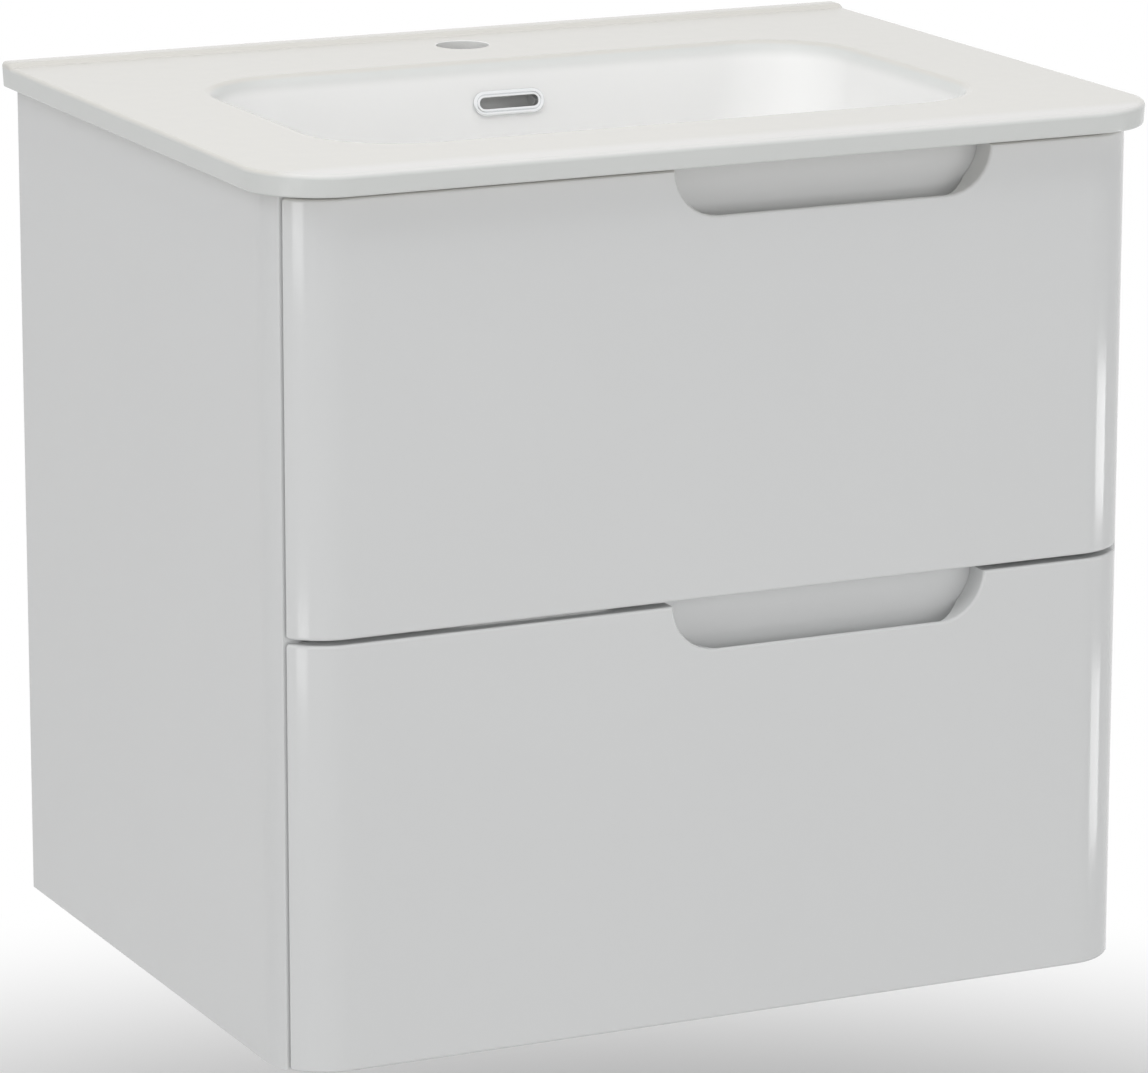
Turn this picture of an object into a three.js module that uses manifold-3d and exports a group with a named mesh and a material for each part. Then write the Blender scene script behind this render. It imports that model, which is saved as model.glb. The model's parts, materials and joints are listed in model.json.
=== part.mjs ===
// Wall-hung bathroom vanity: a cast basin on a cabinet with two full-extension drawers.
// Millimetres, +Z up, -Y to the front. Heights below are measured from the cabinet's underside and
// depths from the wall; the whole group is then lowered so that the origin is on the wall, at the
// middle of the hanging rail.
import * as THREE from 'three';
import { mergeVertices } from 'three/addons/utils/BufferGeometryUtils.js';
import Module from 'manifold-3d';

const wasm = await Module();
wasm.setup();

// ---------------------------------------------------------------- driving dimensions

const BASIN_WIDTH = 610;
const BASIN_DEPTH = 460.8;
const CABINET_HEIGHT = 545;

const FIT = 0.3;                  // clearance between pieces that rest on or beside each other

const slab = {
  thickness: 14.6,
  frontRadius: 50,                // plan radius of the two front corners
  backRadius: 3,
  edgeRadius: 2,
  draft: 0.7,                     // the mould leaves the lower edge this much inside the upper
  lipHeight: 2.5,                 // splash lip along the wall
  lipFlat: 12,
  lipFall: 7,
  crownWidth: 25,                 // the deck rolls off towards the front edge
  crownDrop: 1,
};

const bowl = {
  sideDeck: 84,                   // deck left beside, before and behind the bowl
  frontDeck: 82,
  backDeck: 116,
  cornerRadius: 58,
  rimRadius: 7,
  depth: 98,                      // to the foot of the wall; the floor then falls to the drain
  wallLean: 9,                    // degrees from vertical
  endLean: 1.7,                   // the end walls lean this much more than the long ones
  footRadius: 42,
  floorFall: 4,                   // degrees
  wall: 9,
};

const drain = { radius: 23, seatRadius: 33, seatDepth: 3, bossRadius: 40, bossLength: 32 };
const tap = { radius: 17.5, fromWall: 54 };
const overflow = {
  depth: 24,                      // slot centre below the deck
  straight: 33.5,                 // length of the slot between its round ends
  radius: 3.75,
  sleeve: 1,                      // wall of the trim ring's sleeve
  flange: 4.4,                    // how far the ring's flange stands out round the sleeve's bore
  flangeThickness: 1.6,
  sleeveLength: 7,
  ductWidth: 46,
  ductHeight: 11,
  ductWall: 6,
};

const cabinet = {
  sideOverhang: 11,               // basin beyond the cabinet on each side
  frontOverhang: 13.8,
  board: 18,
  floorBoard: 16,
  cornerRadius: 40,               // shared by the side panels and the drawer fronts
  frontGap: 1.5,                  // between the side panels' ends and the fronts
  panelEdge: 1,
  topRail: 60,
  topRailSetback: 15,             // from the fronts' backs
  hangingRail: 100,
  lowerRail: 80,
};

const front = {
  thickness: 18,
  gap: 3,                         // between the fronts, and below the basin
  edgeRadius: 2,
  land: 1,                        // straight strip where the round corner meets the back face
};

const grip = {
  width: 218,
  depth: 30,
  offset: 73,                     // grip centre from the middle of the front
  relief: 22,                     // reach of the finger groove cut into the back of the lower edge
  lip: 2,                         // thickness left at that edge
  backing: 12,
  backingMargin: 22,
};

const runner = {
  lengths: [250, 270, 300, 350, 400, 450, 500],
  plumbing: 60,                   // free depth behind the drawers
  sheet: 1.5,
  plateHeight: 34,
  width: 24,
  lip: 9,
  rolling: 2.5,                   // room for the rollers between two members
  rollerRadius: 1.1,
  middleWidth: 16,
  middleHeight: 11,
  travelLoss: 20,                 // the drawer opens this much less than its own length
};

const drawer = {
  base: 28,                       // runner's foot above the lower edge of its front
  sideHeights: [66, 86, 106],     // made sizes, from the runner's foot to the round top
  sideClearance: 3,
  sideWidth: 13.7,
  sheet: 1.2,
  flange: 20,
  board: 16,
  gallery: 112,                   // gallery rod above the lower drawer's floor
  galleryRadius: 5,
  galleryCollar: 8,
  backAboveGallery: 12,
  basinClearance: 12,
};

const notch = { width: 190, depth: 205, radius: 45, wall: 3, rim: 5 };

const hanger = { width: 26, depth: 42, height: 56, drop: 20, hookWidth: 14, hookSheet: 3, hookLip: 14 };

// ---------------------------------------------------------------- derived sizes

const degrees = Math.PI / 180;
const cabinetWidth = BASIN_WIDTH - 2 * cabinet.sideOverhang;
const frontFace = -(BASIN_DEPTH - cabinet.frontOverhang);
const frontBack = frontFace + front.thickness;
const insideHalf = cabinetWidth / 2 - cabinet.board;
const carcassFront = frontBack + cabinet.frontGap;
const deckTop = CABINET_HEIGHT + slab.thickness;
const frontHeight = (CABINET_HEIGHT - 2 * front.gap) / 2;
const hangingRailMiddle = CABINET_HEIGHT - cabinet.hangingRail / 2;

const bowlHalfWidth = BASIN_WIDTH / 2 - bowl.sideDeck;
const bowlHalfDepth = (BASIN_DEPTH - bowl.frontDeck - bowl.backDeck) / 2;
const bowlCentre = -(bowl.backDeck + bowlHalfDepth);

const roomForRunner = -frontBack - runner.plumbing;
const runnerLength = runner.lengths.filter((length) => length <= roomForRunner).pop();

// ---------------------------------------------------------------- materials

const finish = (color, roughness, metalness) => new THREE.MeshStandardMaterial({ color, roughness, metalness });
const material = {
  castStone: finish('#e4e4e1', 0.12, 0),
  lacquer: finish('#c9cbcb', 0.15, 0),
  melamine: finish('#d9dbda', 0.45, 0),
  chrome: finish('#d4d8da', 0.08, 1),
  zincSteel: finish('#aeb2b3', 0.35, 1),
  coatedSteel: finish('#d8dad9', 0.4, 0.2),
  mouldedPlastic: finish('#b9bdbe', 0.5, 0),
};

// ---------------------------------------------------------------- solids

const vanity = new THREE.Group();

/** Welds a geometry's corners and turns its faces outwards. */
function closed(geometry) {
  const bare = geometry.clone();
  bare.deleteAttribute('normal');
  bare.deleteAttribute('uv');
  const welded = mergeVertices(bare, 1e-3);
  const p = welded.attributes.position;
  const index = welded.index.array;
  const [a, b, c] = [new THREE.Vector3(), new THREE.Vector3(), new THREE.Vector3()];
  let volume = 0;
  for (let i = 0; i < index.length; i += 3) {
    a.fromBufferAttribute(p, index[i]);
    b.fromBufferAttribute(p, index[i + 1]);
    c.fromBufferAttribute(p, index[i + 2]);
    volume += a.dot(b.cross(c));
  }
  if (volume < 0) {
    for (let i = 0; i < index.length; i += 3) [index[i], index[i + 1]] = [index[i + 1], index[i]];
  }
  return welded;
}

function toManifold(geometry) {
  const g = closed(geometry);
  return new wasm.Manifold(new wasm.Mesh({
    numProp: 3,
    vertProperties: new Float32Array(g.attributes.position.array),
    triVerts: new Uint32Array(g.index.array),
  }));
}

function fromManifold(solid) {
  const mesh = solid.getMesh();
  const geometry = new THREE.BufferGeometry();
  geometry.setAttribute('position', new THREE.BufferAttribute(mesh.vertProperties, 3));
  geometry.setIndex(new THREE.BufferAttribute(mesh.triVerts, 1));
  return geometry;
}

const join = (...pieces) => fromManifold(pieces.map(toManifold).reduce((sum, piece) => sum.add(piece)));
const cut = (stock, ...tools) => fromManifold(
  tools.map(toManifold).reduce((left, tool) => left.subtract(tool), toManifold(stock)),
);

function add(name, geometry, look) {
  const mesh = new THREE.Mesh(closed(geometry), look);
  mesh.name = name;
  vanity.add(mesh);
}

/** A box between two opposite corners. */
function block([x0, y0, z0], [x1, y1, z1]) {
  const box = new THREE.BoxGeometry(Math.abs(x1 - x0), Math.abs(y1 - y0), Math.abs(z1 - z0));
  return box.translate((x0 + x1) / 2, (y0 + y1) / 2, (z0 + z1) / 2);
}

/** A plan shape, in x and y, standing from one height to another. */
function upright(shape, low, high, curveSegments = 8) {
  const geometry = new THREE.ExtrudeGeometry(shape, { depth: high - low, bevelEnabled: false, curveSegments });
  return geometry.translate(0, 0, low);
}

/** A section in x and z, running along y. */
function lengthwise(shape, y0, y1, curveSegments = 8) {
  const geometry = new THREE.ExtrudeGeometry(shape, { depth: y1 - y0, bevelEnabled: false, curveSegments });
  return geometry.rotateX(Math.PI / 2).translate(0, y1, 0);
}

/** A round bar along z. */
function post(radius, x, y, low, high, sides = 32) {
  const bar = new THREE.CylinderGeometry(radius, radius, high - low, sides);
  return bar.rotateX(Math.PI / 2).translate(x, y, (low + high) / 2);
}

/** A closed skin through rings of equally many points, with flat ends or joined end to end. */
function loft(rings, endless = false) {
  const count = rings[0].length;
  const positions = rings.flat().flatMap((p) => [p.x, p.y, p.z]);
  const index = [];
  const spans = endless ? rings.length : rings.length - 1;
  for (let i = 0; i < spans; i += 1) {
    const [low, high] = [i * count, ((i + 1) % rings.length) * count];
    for (let j = 0; j < count; j += 1) {
      const k = (j + 1) % count;
      index.push(low + j, low + k, high + k, low + j, high + k, high + j);
    }
  }
  if (!endless) {
    const last = (rings.length - 1) * count;
    for (let j = 1; j < count - 1; j += 1) {
      index.push(0, j + 1, j, last, last + j, last + j + 1);
    }
  }
  const geometry = new THREE.BufferGeometry();
  geometry.setAttribute('position', new THREE.Float32BufferAttribute(positions, 3));
  geometry.setIndex(index);
  return geometry;
}

/** Points of an arc in the plane, both ends included. */
function arc(cx, cy, radius, from, to, steps) {
  return Array.from({ length: steps + 1 }, (_, i) => {
    const angle = (from + ((to - from) * i) / steps) * degrees;
    return new THREE.Vector2(cx + radius * Math.cos(angle), cy + radius * Math.sin(angle));
  });
}

/** A rounded rectangle as plan points; the two front corners may differ from the two at the back. */
function roundedPlan({ left, right, front: near, back, frontCorner, backCorner }, steps) {
  return [
    ...arc(right - backCorner, back - backCorner, backCorner, 0, 90, steps),
    ...arc(left + backCorner, back - backCorner, backCorner, 90, 180, steps),
    ...arc(left + frontCorner, near + frontCorner, frontCorner, 180, 270, steps),
    ...arc(right - frontCorner, near + frontCorner, frontCorner, 270, 360, steps),
  ];
}

/** A slot outline with round ends, lying along x about the origin. */
function slotOutline(straight, radius, steps) {
  return [
    ...arc(straight / 2, 0, radius, -90, 90, steps),
    ...arc(-straight / 2, 0, radius, 90, 270, steps),
  ];
}

const atHeight = (points, z) => points.map((p) => new THREE.Vector3(p.x, p.y, z));

/** Steps of a quarter round of the given radius: how far in, and how far along. */
function quarterRound(radius, steps) {
  return Array.from({ length: steps + 1 }, (_, i) => {
    const angle = (i / steps) * 90 * degrees;
    return { inset: radius * (1 - Math.sin(angle)), along: radius * (1 - Math.cos(angle)) };
  });
}

// ---------------------------------------------------------------- basin

/** Adds corners to a mesh wherever its edges cross a plane of constant y. */
function scoreAcross(geometry, stations) {
  let triangles = [];
  const g = closed(geometry);
  const p = g.attributes.position;
  for (let i = 0; i < g.index.count; i += 3) {
    triangles.push([0, 1, 2].map((k) => new THREE.Vector3().fromBufferAttribute(p, g.index.getX(i + k))));
  }
  const crossing = (a, b, y) => {
    const [low, high] = a.y < b.y ? [a, b] : [b, a];
    return low.clone().lerp(high, (y - low.y) / (high.y - low.y)).setY(y);
  };
  for (const y of stations) {
    const scored = [];
    for (const corners of triangles) {
      const side = corners.map((v) => (Math.abs(v.y - y) < 1e-3 ? 0 : Math.sign(v.y - y)));
      if (!side.includes(1) || !side.includes(-1)) {
        scored.push(corners);
        continue;
      }
      // Turn the corners so that the first is alone on its side, or lies on the plane.
      let turn = side.indexOf(0);
      if (turn < 0) turn = [0, 1, 2].find((k) => side.filter((s) => s === side[k]).length === 1);
      const [a, b, c] = [0, 1, 2].map((k) => corners[(turn + k) % 3]);
      if (side[turn] === 0) {
        const m = crossing(b, c, y);
        scored.push([a, b, m], [a, m, c]);
      } else {
        const [m, n] = [crossing(a, b, y), crossing(a, c, y)];
        scored.push([a, m, n], [m, b, c], [m, c, n]);
      }
    }
    triangles = scored;
  }
  const out = new THREE.BufferGeometry();
  out.setAttribute('position', new THREE.Float32BufferAttribute(triangles.flat().flatMap((v) => v.toArray()), 3));
  return out;
}

/** How far the deck stands above its general level: the lip at the wall, the roll-off at the front. */
function deckRise(y) {
  const intoFall = (slab.lipFlat + slab.lipFall + y) / slab.lipFall;
  const lip = slab.lipHeight * THREE.MathUtils.smoothstep(intoFall, 0, 1);
  const intoCrown = Math.max(0, (slab.crownWidth - (BASIN_DEPTH + y)) / slab.crownWidth);
  return lip - slab.crownDrop * intoCrown ** 2;
}

function basinSlab() {
  const plan = (inset, draft) => roundedPlan({
    left: -BASIN_WIDTH / 2 + inset + draft,
    right: BASIN_WIDTH / 2 - inset - draft,
    front: -BASIN_DEPTH + inset + draft,
    back: -inset,
    frontCorner: slab.frontRadius - inset - draft,
    backCorner: slab.backRadius - inset,
  }, 10);
  const rounding = quarterRound(slab.edgeRadius, 3).reverse();
  const rings = [
    atHeight(plan(0, slab.draft), CABINET_HEIGHT),
    ...rounding.map(({ inset, along }) => atHeight(plan(inset, 0), deckTop - along)),
  ];
  const lipSteps = [0, 0.25, 0.5, 0.75, 1].map((t) => -(slab.lipFlat + slab.lipFall * t));
  const crownSteps = [1, 0.75, 0.5, 0.25].map((t) => -(BASIN_DEPTH - slab.crownWidth * t));
  const scored = scoreAcross(loft(rings), [...lipSteps, ...crownSteps]);
  const p = scored.attributes.position;
  for (let i = 0; i < p.count; i += 1) {
    if (p.getZ(i) > CABINET_HEIGHT + slab.edgeRadius) p.setZ(i, p.getZ(i) + deckRise(p.getY(i)));
  }
  return scored;
}

/** The bowl's wall from rim to floor: distance in from the opening, depth below the deck, and lean. */
function bowlProfile() {
  const lean = bowl.wallLean;
  const floorLean = 90 - bowl.floorFall;
  const steps = (from, to, count) => Array.from({ length: count + 1 }, (_, i) => from + ((to - from) * i) / count);
  const rim = steps(90, lean, 4).map((tilt) => ({
    tilt,
    inset: -bowl.rimRadius * (1 - Math.cos(tilt * degrees)),
    depth: bowl.rimRadius * (1 - Math.sin(tilt * degrees)),
  }));
  const start = rim.at(-1);
  const footRise = bowl.footRadius * (Math.sin(floorLean * degrees) - Math.sin(lean * degrees));
  const wallDrop = bowl.depth - footRise - start.depth;
  const end = { inset: start.inset + wallDrop * Math.tan(lean * degrees), depth: bowl.depth - footRise };
  const foot = steps(lean, floorLean, 6).map((tilt) => ({
    tilt,
    inset: end.inset + bowl.footRadius * (Math.cos(lean * degrees) - Math.cos(tilt * degrees)),
    depth: end.depth + bowl.footRadius * (Math.sin(tilt * degrees) - Math.sin(lean * degrees)),
  }));
  return [...rim, ...foot];
}

/** The bowl's plan at one place on its profile, grown outwards for the outer skin. */
function bowlRing({ inset, depth, tilt }, grow) {
  const outwards = grow * Math.cos(tilt * degrees);
  const halfWidth = bowlHalfWidth - (inset > 0 ? inset * bowl.endLean : inset) + outwards;
  const halfDepth = bowlHalfDepth - inset + outwards;
  const corner = Math.min(bowl.cornerRadius - Math.min(inset, 0) + outwards, halfDepth - 1);
  const plan = {
    left: -halfWidth,
    right: halfWidth,
    front: bowlCentre - halfDepth,
    back: bowlCentre + halfDepth,
    frontCorner: corner,
    backCorner: corner,
  };
  return atHeight(roundedPlan(plan, 8), deckTop - depth - grow * Math.sin(tilt * degrees));
}

const profile = bowlProfile();
const foot = profile.at(-1);
const floorRun = bowlHalfDepth - foot.inset - drain.radius;
const drainDepth = foot.depth + floorRun * Math.tan(bowl.floorFall * degrees);

/** The round end of the bowl at the drain. */
function drainRing(radius, z) {
  const plan = {
    left: -radius,
    right: radius,
    front: bowlCentre - radius,
    back: bowlCentre + radius,
    frontCorner: radius,
    backCorner: radius,
  };
  return atHeight(roundedPlan(plan, 8), z);
}

function between(a, b, t) {
  return a.map((p, i) => p.clone().lerp(b[i], t));
}

function bowlHollow() {
  const walls = profile.map((place) => bowlRing(place, 0));
  const edge = walls[0].map((p) => p.clone().setZ(deckTop + 10));
  const seat = drainRing(drain.seatRadius, deckTop - drainDepth);
  return loft([edge, ...walls, between(walls.at(-1), seat, 0.5), seat]);
}

function bowlSkin() {
  const below = profile.filter(({ depth, tilt }) => tilt < 90 && depth > 0);
  const walls = below.map((place) => bowlRing(place, bowl.wall));
  const top = walls[0].map((p) => p.clone().setZ(CABINET_HEIGHT + slab.thickness / 2));
  const kept = walls.filter((ring) => ring[0].z < CABINET_HEIGHT);
  const seat = drainRing(drain.bossRadius, deckTop - drainDepth - bowl.wall);
  return loft([top, ...kept, between(kept.at(-1), seat, 0.5), seat]);
}

/** A point and its outward direction on the middle of the bowl's back wall. */
function backWall({ inset, depth, tilt }) {
  return {
    point: new THREE.Vector3(0, bowlCentre + bowlHalfDepth - inset, deckTop - depth),
    outward: new THREE.Vector3(0, Math.cos(tilt * degrees), -Math.sin(tilt * degrees)),
  };
}

/** The overflow duct follows the bowl's back wall down and under the floor to the drain. */
function overflowDuct(wall) {
  const middle = bowl.wall + overflow.ductHeight / 2;
  const half = new THREE.Vector2(overflow.ductWidth / 2 + wall, overflow.ductHeight / 2 + wall);
  const upperEnd = overflow.depth - overflow.ductHeight / 2 - 2 * wall;
  const lowerWall = profile.filter(({ depth, tilt }) => depth > bowl.rimRadius && tilt >= bowl.wallLean);
  const topInset = bowl.rimRadius * (Math.cos(bowl.wallLean * degrees) - 1)
    + (upperEnd - bowl.rimRadius) * Math.tan(bowl.wallLean * degrees);
  const places = [{ inset: topInset, depth: upperEnd, tilt: bowl.wallLean }, ...lowerWall].map(backWall);
  const last = places.at(-1);
  const toDrain = last.point.y - (bowlCentre + drain.radius / 2);
  places.push({
    point: last.point.clone().add(new THREE.Vector3(0, -toDrain, -toDrain * Math.tan(bowl.floorFall * degrees))),
    outward: last.outward,
  });
  return loft(places.map(({ point, outward }) => {
    const corner = (x, out) => point.clone().addScaledVector(outward, middle + out).setX(x);
    return [corner(-half.x, -half.y), corner(half.x, -half.y), corner(half.x, half.y), corner(-half.x, half.y)];
  }));
}

/** Places a piece drawn flat, x across and y up, on the bowl's back wall at the overflow. */
const onOverflow = (() => {
  const slope = bowl.wallLean * degrees;
  const inset = (overflow.depth - bowl.rimRadius) * Math.tan(slope) + bowl.rimRadius * (Math.cos(slope) - 1)
    + bowl.rimRadius * Math.sin(slope) * Math.tan(slope);
  const { point, outward } = backWall({ inset, depth: overflow.depth, tilt: bowl.wallLean });
  const intoBowl = outward.clone().negate();
  const across = new THREE.Vector3(1, 0, 0);
  const up = intoBowl.clone().cross(across);
  return new THREE.Matrix4().makeBasis(across, up, intoBowl).setPosition(point);
})();

function addBasin() {
  const floor = deckTop - drainDepth;
  const bossEnd = floor - bowl.wall - drain.bossLength + bowl.wall;
  const slotRadius = overflow.radius + overflow.sleeve + FIT;
  const slot = loft([-(bowl.wall + 3), 8].map((z) => atHeight(slotOutline(overflow.straight, slotRadius, 8), z)));
  const basin = cut(
    join(
      basinSlab(),
      bowlSkin(),
      overflowDuct(overflow.ductWall),
      post(drain.bossRadius, 0, bowlCentre, bossEnd, floor - bowl.wall / 2),
    ),
    bowlHollow(),
    overflowDuct(0),
    slot.applyMatrix4(onOverflow),
    post(drain.radius, 0, bowlCentre, bossEnd - 1, deckTop),
    post(drain.seatRadius, 0, bowlCentre, floor - drain.seatDepth, floor + 5),
    post(tap.radius, 0, -tap.fromWall, CABINET_HEIGHT - 1, deckTop + slab.lipHeight),
  );
  add('basin', basin, material.castStone);
  return bossEnd;
}

/** The overflow's trim: a sleeve with a grooved flange, swept round the slot. */
function addOverflowRing() {
  const bore = overflow.radius;
  const edge = bore + overflow.flange;
  const face = FIT + overflow.flangeThickness;
  const section = [
    [bore, -overflow.sleeveLength],
    [bore + overflow.sleeve, -overflow.sleeveLength],
    [bore + overflow.sleeve, FIT],
    [edge, FIT],
    [edge, face - 0.9],
    [edge - 0.4, face - 0.25],
    [edge - 1, face],
    [bore + 2.3, face],
    [bore + 1.9, face - 0.5],
    [bore + 1.5, face],
    [bore + 0.6, face],
    [bore, face - 0.5],
  ];
  const rings = section.map(([radius, out]) => atHeight(slotOutline(overflow.straight, radius, 8), out));
  add('overflow_ring', loft(rings, true).applyMatrix4(onOverflow), material.chrome);
}

// ---------------------------------------------------------------- carcass

/** The rounded corner's centre, in plan, on one side of the cabinet. */
const cornerCentre = {
  x: cabinetWidth / 2 - cabinet.cornerRadius,
  y: frontFace + cabinet.cornerRadius,
};

function addSidePanel(side) {
  const outer = cabinetWidth / 2;
  const end = Math.asin((cornerCentre.y - carcassFront) / cabinet.cornerRadius) / degrees;
  const eased = end - (cabinet.panelEdge / cabinet.cornerRadius) / degrees;
  const sweep = arc(cornerCentre.x, cornerCentre.y, cabinet.cornerRadius, 0, -eased, 8);
  const tip = sweep.at(-1);
  const plan = [
    new THREE.Vector2(insideHalf, 0),
    new THREE.Vector2(outer, 0),
    ...sweep,
    new THREE.Vector2(tip.x - cabinet.panelEdge * 0.6, carcassFront),
    new THREE.Vector2(insideHalf, carcassFront),
  ].map((p) => p.setX(p.x * side));
  const name = side < 0 ? 'side_panel_left' : 'side_panel_right';
  add(name, upright(new THREE.Shape(plan), 0, CABINET_HEIGHT - FIT), material.lacquer);
}

const hangerWindow = {
  inner: insideHalf - hanger.width / 2 - hanger.hookWidth / 2 - 4,
  outer: insideHalf - hanger.width / 2 + hanger.hookWidth / 2 + 4,
  low: CABINET_HEIGHT - hanger.drop - hanger.height + 6,
  high: CABINET_HEIGHT - hanger.drop - 6,
};

function addCarcass() {
  [-1, 1].forEach(addSidePanel);
  add('bottom_panel', block([-insideHalf, carcassFront, 0], [insideHalf, 0, cabinet.floorBoard]), material.melamine);
  const top = CABINET_HEIGHT - FIT;
  const railFace = frontBack + cabinet.topRailSetback;
  add(
    'top_front_rail',
    block([-insideHalf, railFace, top - cabinet.topRail], [insideHalf, railFace + cabinet.board, top]),
    material.melamine,
  );
  add(
    'lower_rear_rail',
    block([-insideHalf, -cabinet.board, cabinet.floorBoard], [insideHalf, 0, cabinet.floorBoard + cabinet.lowerRail]),
    material.melamine,
  );
  const { inner, outer, low, high } = hangerWindow;
  const windows = [-1, 1].map((side) => block([side * inner, -cabinet.board - 1, low], [side * outer, 1, high]));
  add('hanging_rail', cut(
    block([-insideHalf, -cabinet.board, top - cabinet.hangingRail], [insideHalf, 0, top]),
    ...windows,
  ), material.melamine);
}

/** A hanger in each upper rear corner; its hook reaches through the rail for the plate on the wall. */
function addHanger(side) {
  const name = side < 0 ? 'left' : 'right';
  const middle = side * (insideHalf - hanger.width / 2);
  const top = CABINET_HEIGHT - hanger.drop;
  const rear = -cabinet.board - FIT;
  const face = rear - hanger.depth;
  const [inner, outer] = [middle - (side * hanger.width) / 2, middle + (side * hanger.width) / 2];
  const housing = new THREE.Shape([
    new THREE.Vector2(rear, top - hanger.height),
    new THREE.Vector2(rear, top),
    new THREE.Vector2(face + 8, top),
    new THREE.Vector2(face, top - 8),
    new THREE.Vector2(face, top - hanger.height + 14),
    new THREE.Vector2(face + 10, top - hanger.height),
  ]);
  const shell = new THREE.ExtrudeGeometry(housing, { depth: hanger.width, bevelEnabled: false });
  shell.applyMatrix4(new THREE.Matrix4().makeBasis(
    new THREE.Vector3(0, 1, 0),
    new THREE.Vector3(0, 0, 1),
    new THREE.Vector3(1, 0, 0),
  )).translate(Math.min(inner, outer), 0, 0);
  const hookSlot = block(
    [middle - hanger.hookWidth / 2 - FIT, rear - 12, top - 26 - FIT],
    [middle + hanger.hookWidth / 2 + FIT, rear + 1, top - 26 + hanger.hookSheet + FIT],
  );
  const adjusters = [-17, -34].map((drop) => {
    const recess = new THREE.CylinderGeometry(4, 4, 8, 16);
    return recess.translate(middle, face, top + drop);
  });
  add(`hanger_${name}`, cut(shell, hookSlot, ...adjusters), material.mouldedPlastic);

  const [low, high] = [top - 26, top - 26 + hanger.hookSheet];
  const tip = -3;
  const hook = new THREE.Shape([
    new THREE.Vector2(rear - 11, low),
    new THREE.Vector2(tip - hanger.hookSheet, low),
    new THREE.Vector2(tip - hanger.hookSheet, high - hanger.hookLip),
    new THREE.Vector2(tip, high - hanger.hookLip),
    new THREE.Vector2(tip, high),
    new THREE.Vector2(rear - 11, high),
  ]);
  const plate = new THREE.ExtrudeGeometry(hook, { depth: hanger.hookWidth, bevelEnabled: false });
  plate.applyMatrix4(new THREE.Matrix4().makeBasis(
    new THREE.Vector3(0, 1, 0),
    new THREE.Vector3(0, 0, 1),
    new THREE.Vector3(1, 0, 0),
  )).translate(middle - hanger.hookWidth / 2, 0, 0);
  add(`hanger_hook_${name}`, plate, material.zincSteel);
}

// ---------------------------------------------------------------- drawer fronts

/** Plan of a front: flat, with its ends on the cabinet's corner round. */
function frontPlan(inset) {
  const radius = cabinet.cornerRadius - inset;
  const landStart = frontBack - front.land;
  const end = Math.asin((cornerCentre.y - landStart) / radius) / degrees;
  const right = arc(cornerCentre.x, cornerCentre.y, radius, -end, -90, 10);
  const corner = new THREE.Vector2(right[0].x, frontBack);
  const half = [corner, ...right];
  return [...half, ...half.map((p) => new THREE.Vector2(-p.x, p.y)).reverse()];
}

/** Outline of the grip cut-out in x and z: open at the top, quarter rounds at its lower corners. */
function gripOutline(top, grow) {
  const [left, right] = [grip.offset - grip.width / 2, grip.offset + grip.width / 2];
  const radius = grip.depth + grow;
  const above = top + 10;
  return [
    new THREE.Vector2(right + grow, above),
    ...arc(right - grip.depth, top, radius, 0, -90, 8),
    ...arc(left + grip.depth, top, radius, -90, -180, 8),
    new THREE.Vector2(left - grow, above),
  ];
}

const facingFront = (points, y) => points.map((p) => new THREE.Vector3(p.x, y, p.y));

function addFront(name, low) {
  const high = low + frontHeight;
  const edge = quarterRound(front.edgeRadius, 3);
  const board = loft([
    ...edge.map(({ inset, along }) => atHeight(frontPlan(inset), low + along)),
    ...edge.map(({ inset, along }) => atHeight(frontPlan(inset), high - along)).reverse(),
  ]);
  const opening = loft([
    facingFront(gripOutline(high, front.edgeRadius), frontFace - 1),
    ...edge.map(({ inset, along }) => facingFront(gripOutline(high, inset), frontFace + along)),
    facingFront(gripOutline(high, 0), frontBack + 1),
  ]);
  const groove = loft([[0.5, frontFace + grip.lip], [grip.relief, frontBack + 0.01]].map(([radius, y]) => {
    const slot = slotOutline(grip.width - 2 * grip.depth, radius, 12);
    return facingFront(slot, y).map((p) => p.add(new THREE.Vector3(grip.offset, 0, high - grip.depth + 0.5)));
  }));
  add(name, cut(board, opening, groove), material.lacquer);
}

function addGripBacking(name, low) {
  const top = low + frontHeight;
  const [left, right] = [grip.offset - grip.width / 2, grip.offset + grip.width / 2];
  add(name, block(
    [left - grip.backingMargin, frontBack + FIT, top - grip.depth - grip.relief - grip.backingMargin],
    [right + grip.backingMargin, frontBack + FIT + grip.backing, top],
  ), material.lacquer);
}

// ---------------------------------------------------------------- runners

const runnerFront = carcassFront + 1;
const runnerBack = runnerFront + runnerLength;

/** A section given as distance in from the cabinet's side and height above the runner's foot. */
function sideSection(side, base, points) {
  const section = points.map(([inwards, up]) => new THREE.Vector2(side * (insideHalf - inwards), base + up));
  return new THREE.Shape(THREE.ShapeUtils.isClockWise(section) ? section.reverse() : section);
}

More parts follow.
